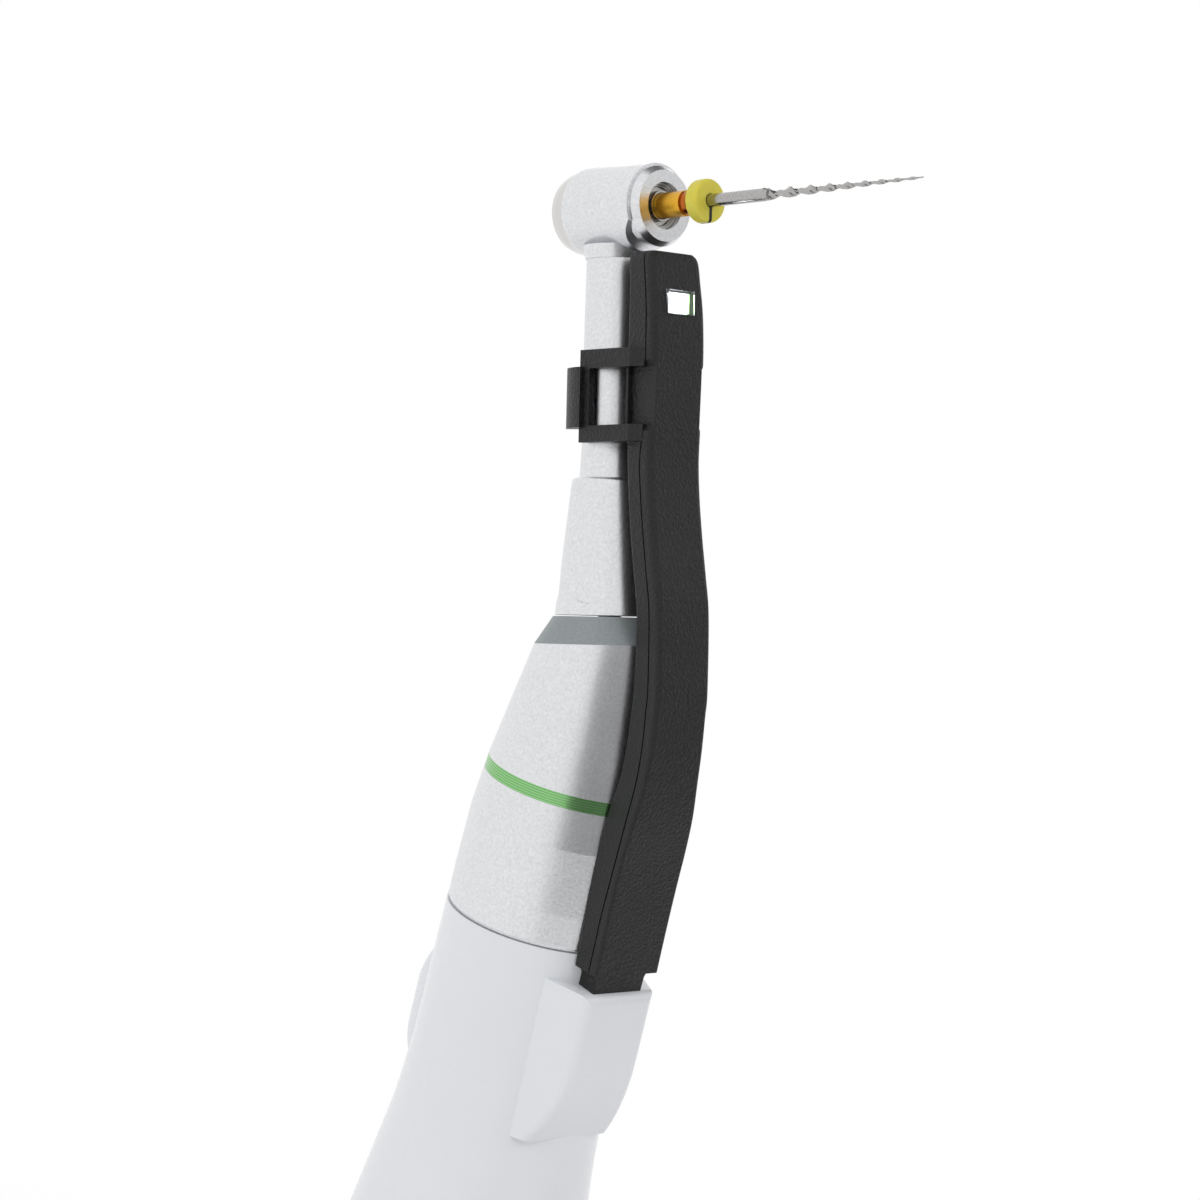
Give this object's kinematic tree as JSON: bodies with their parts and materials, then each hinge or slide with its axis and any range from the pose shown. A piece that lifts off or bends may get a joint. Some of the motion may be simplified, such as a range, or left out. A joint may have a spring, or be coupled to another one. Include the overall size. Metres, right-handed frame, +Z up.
{
  "type": "endodontic motor",
  "caption": "Cordless endodontic motor with a light bar on its contra-angle, which turns a root canal file through a geared push-button head.",
  "frame": {"origin": "centre of the flat foot, on the motor's axis", "axes": "+Z up along the motor's axis to the contra-angle, +X to the side that the file points to, -X to the side of the thumb button, screen and keys"},
  "size_m": [0.0402, 0.0268, 0.2049],
  "materials": {
    "white_shell": "glossy moulded ABS",
    "clear_window": "clear acrylic over a dark screen",
    "screen": "display panel",
    "key_grey": "satin key caps",
    "circuit_green": "circuit board",
    "switch_black": "moulded switch bodies",
    "cell_wrap": "shrink wrap",
    "gold_contact": "gold-plated",
    "spring_steel": "spring wire",
    "motor_steel": "plated motor can and nose",
    "magnet": "sintered magnet",
    "ring_rubber": "cord ring",
    "bead_blasted": "bead-blasted satin",
    "green_anodised": "green anodised",
    "grey_collar": "matt grey",
    "polished_steel": "polished stainless steel",
    "gear_steel": "ground gear steel",
    "spark_black": "spark-eroded texture",
    "light_glow": "white light",
    "light_lens": "clear lens",
    "gold_shank": "golden anodised",
    "copper_band": "copper-coloured",
    "file_alloy": "ground nickel titanium",
    "stop_yellow": "silicone"
  },
  "bodies": {
    "handpiece": {"body_front_shell": "white_shell", "body_back_shell": "white_shell", "bottom_cap": "white_shell", "charge_contacts": "gold_contact", "display_window": "clear_window", "display_panel": "screen", "main_board": "circuit_green", "key_switches": "switch_black", "start_switch": "switch_black", "battery": "cell_wrap", "battery_spring": "spring_steel", "motor_can": "motor_steel", "motor_nose": "motor_steel", "nose_ring": "ring_rubber", "nose_bearing": "gear_steel", "socket_contacts": "gold_contact"},
    "motor_rotor": {"rotor_magnet": "magnet", "motor_shaft": "gear_steel", "drive_dog": "gear_steel"},
    "thumb_button": {"start_button": "white_shell"},
    "set_key": {"set_key": "key_grey"},
    "mode_key": {"mode_key": "key_grey"},
    "minus_key": {"minus_key": "key_grey"},
    "plus_key": {"plus_key": "key_grey"},
    "contra_angle": {"barrel": "bead_blasted", "green_ring": "green_anodised", "handle_cone": "bead_blasted", "grey_collar": "grey_collar", "neck_sleeve": "bead_blasted", "neck_tube": "bead_blasted", "head_housing": "bead_blasted", "cap_ring": "polished_steel", "ring_gear": "gear_steel", "input_bearing": "gear_steel", "carrier_bearing": "gear_steel", "neck_bearing_low": "gear_steel", "neck_bearing_high": "gear_steel", "chuck_bearing_front": "polished_steel", "chuck_bearing_rear": "gear_steel", "led_bar_front": "spark_black", "led_bar_back": "spark_black", "led_board": "circuit_green", "led_module": "light_glow", "led_lens": "light_lens", "led_plug_pads": "gold_contact", "cap_spring": "spring_steel"},
    "input_shaft": {"input_shaft": "gear_steel"},
    "planet_carrier": {"planet_carrier": "gear_steel"},
    "planet_gear_1": {"planet_gear_1": "gear_steel"},
    "planet_gear_2": {"planet_gear_2": "gear_steel"},
    "planet_gear_3": {"planet_gear_3": "gear_steel"},
    "neck_shaft": {"neck_shaft": "gear_steel"},
    "chuck": {"chuck_spindle": "gear_steel"},
    "push_cap": {"push_cap": "polished_steel"},
    "file": {"file_shank": "gold_shank", "file_band": "copper_band", "file_blade": "file_alloy"},
    "file_stop": {"file_stop": "stop_yellow"}
  },
  "joints": [
    {"name": "motor_spin", "type": "hinge", "parent": "handpiece", "child": "motor_rotor", "pos_m": [0, 0, 0.132], "axis": [0, 0, 1], "continuous": true},
    {"name": "start_press", "type": "slide", "parent": "handpiece", "child": "thumb_button", "axis": [1, 0, 0], "range_m": [0, 0.0006], "stiffness_N_per_m": 1200, "springref_m": -0.0003},
    {"name": "set_press", "type": "slide", "parent": "handpiece", "child": "set_key", "axis": [1, 0, 0], "range_m": [0, 0.0005], "stiffness_N_per_m": 900, "springref_m": -0.0003},
    {"name": "mode_press", "type": "slide", "parent": "handpiece", "child": "mode_key", "axis": [1, 0, 0], "range_m": [0, 0.0005], "stiffness_N_per_m": 900, "springref_m": -0.0003},
    {"name": "minus_press", "type": "slide", "parent": "handpiece", "child": "minus_key", "axis": [1, 0, 0], "range_m": [0, 0.0005], "stiffness_N_per_m": 900, "springref_m": -0.0003},
    {"name": "plus_press", "type": "slide", "parent": "handpiece", "child": "plus_key", "axis": [1, 0, 0], "range_m": [0, 0.0005], "stiffness_N_per_m": 900, "springref_m": -0.0003},
    {"name": "contra_angle_pull", "type": "slide", "parent": "handpiece", "child": "contra_angle", "axis": [0, 0, 1], "range_m": [0, 0.014]},
    {"name": "input_spin", "type": "hinge", "parent": "contra_angle", "child": "input_shaft", "pos_m": [0, 0, 0.132], "axis": [0, 0, 1], "continuous": true},
    {"name": "carrier_spin", "type": "hinge", "parent": "contra_angle", "child": "planet_carrier", "pos_m": [0, 0, 0.132], "axis": [0, 0, 1], "continuous": true},
    {"name": "planet_1_spin", "type": "hinge", "parent": "planet_carrier", "child": "planet_gear_1", "pos_m": [0.0042, 0, 0.145], "axis": [0, 0, 1], "continuous": true},
    {"name": "planet_2_spin", "type": "hinge", "parent": "planet_carrier", "child": "planet_gear_2", "pos_m": [-0.0021, 0.00364, 0.145], "axis": [0, 0, 1], "continuous": true},
    {"name": "planet_3_spin", "type": "hinge", "parent": "planet_carrier", "child": "planet_gear_3", "pos_m": [-0.0021, -0.00364, 0.145], "axis": [0, 0, 1], "continuous": true},
    {"name": "neck_spin", "type": "hinge", "parent": "contra_angle", "child": "neck_shaft", "pos_m": [0, 0, 0.1563], "axis": [-0.3007, 0, 0.9537], "continuous": true},
    {"name": "chuck_spin", "type": "hinge", "parent": "contra_angle", "child": "chuck", "pos_m": [-0.01194, 0, 0.19416], "axis": [0.9537, 0, 0.3007], "continuous": true},
    {"name": "cap_press", "type": "slide", "parent": "contra_angle", "child": "push_cap", "axis": [0.9537, 0, 0.3007], "range_m": [0, 0.0008], "stiffness_N_per_m": 1500, "springref_m": -0.0003, "deforming": ["cap_spring"]},
    {"name": "file_pull", "type": "slide", "parent": "chuck", "child": "file", "axis": [0.9537, 0, 0.3007], "range_m": [0, 0.013]},
    {"name": "stop_slide", "type": "slide", "parent": "file", "child": "file_stop", "axis": [0.9537, 0, 0.3007], "range_m": [-0.0004, 0.006]}
  ],
  "couplings": [
    {"joint": "input_spin", "follows": "motor_spin", "ratio": 1},
    {"joint": "carrier_spin", "follows": "motor_spin", "ratio": 0.25},
    {"joint": "planet_1_spin", "follows": "motor_spin", "ratio": -0.75},
    {"joint": "planet_2_spin", "follows": "motor_spin", "ratio": -0.75},
    {"joint": "planet_3_spin", "follows": "motor_spin", "ratio": -0.75},
    {"joint": "neck_spin", "follows": "motor_spin", "ratio": 0.25},
    {"joint": "chuck_spin", "follows": "motor_spin", "ratio": 0.125}
  ]
}
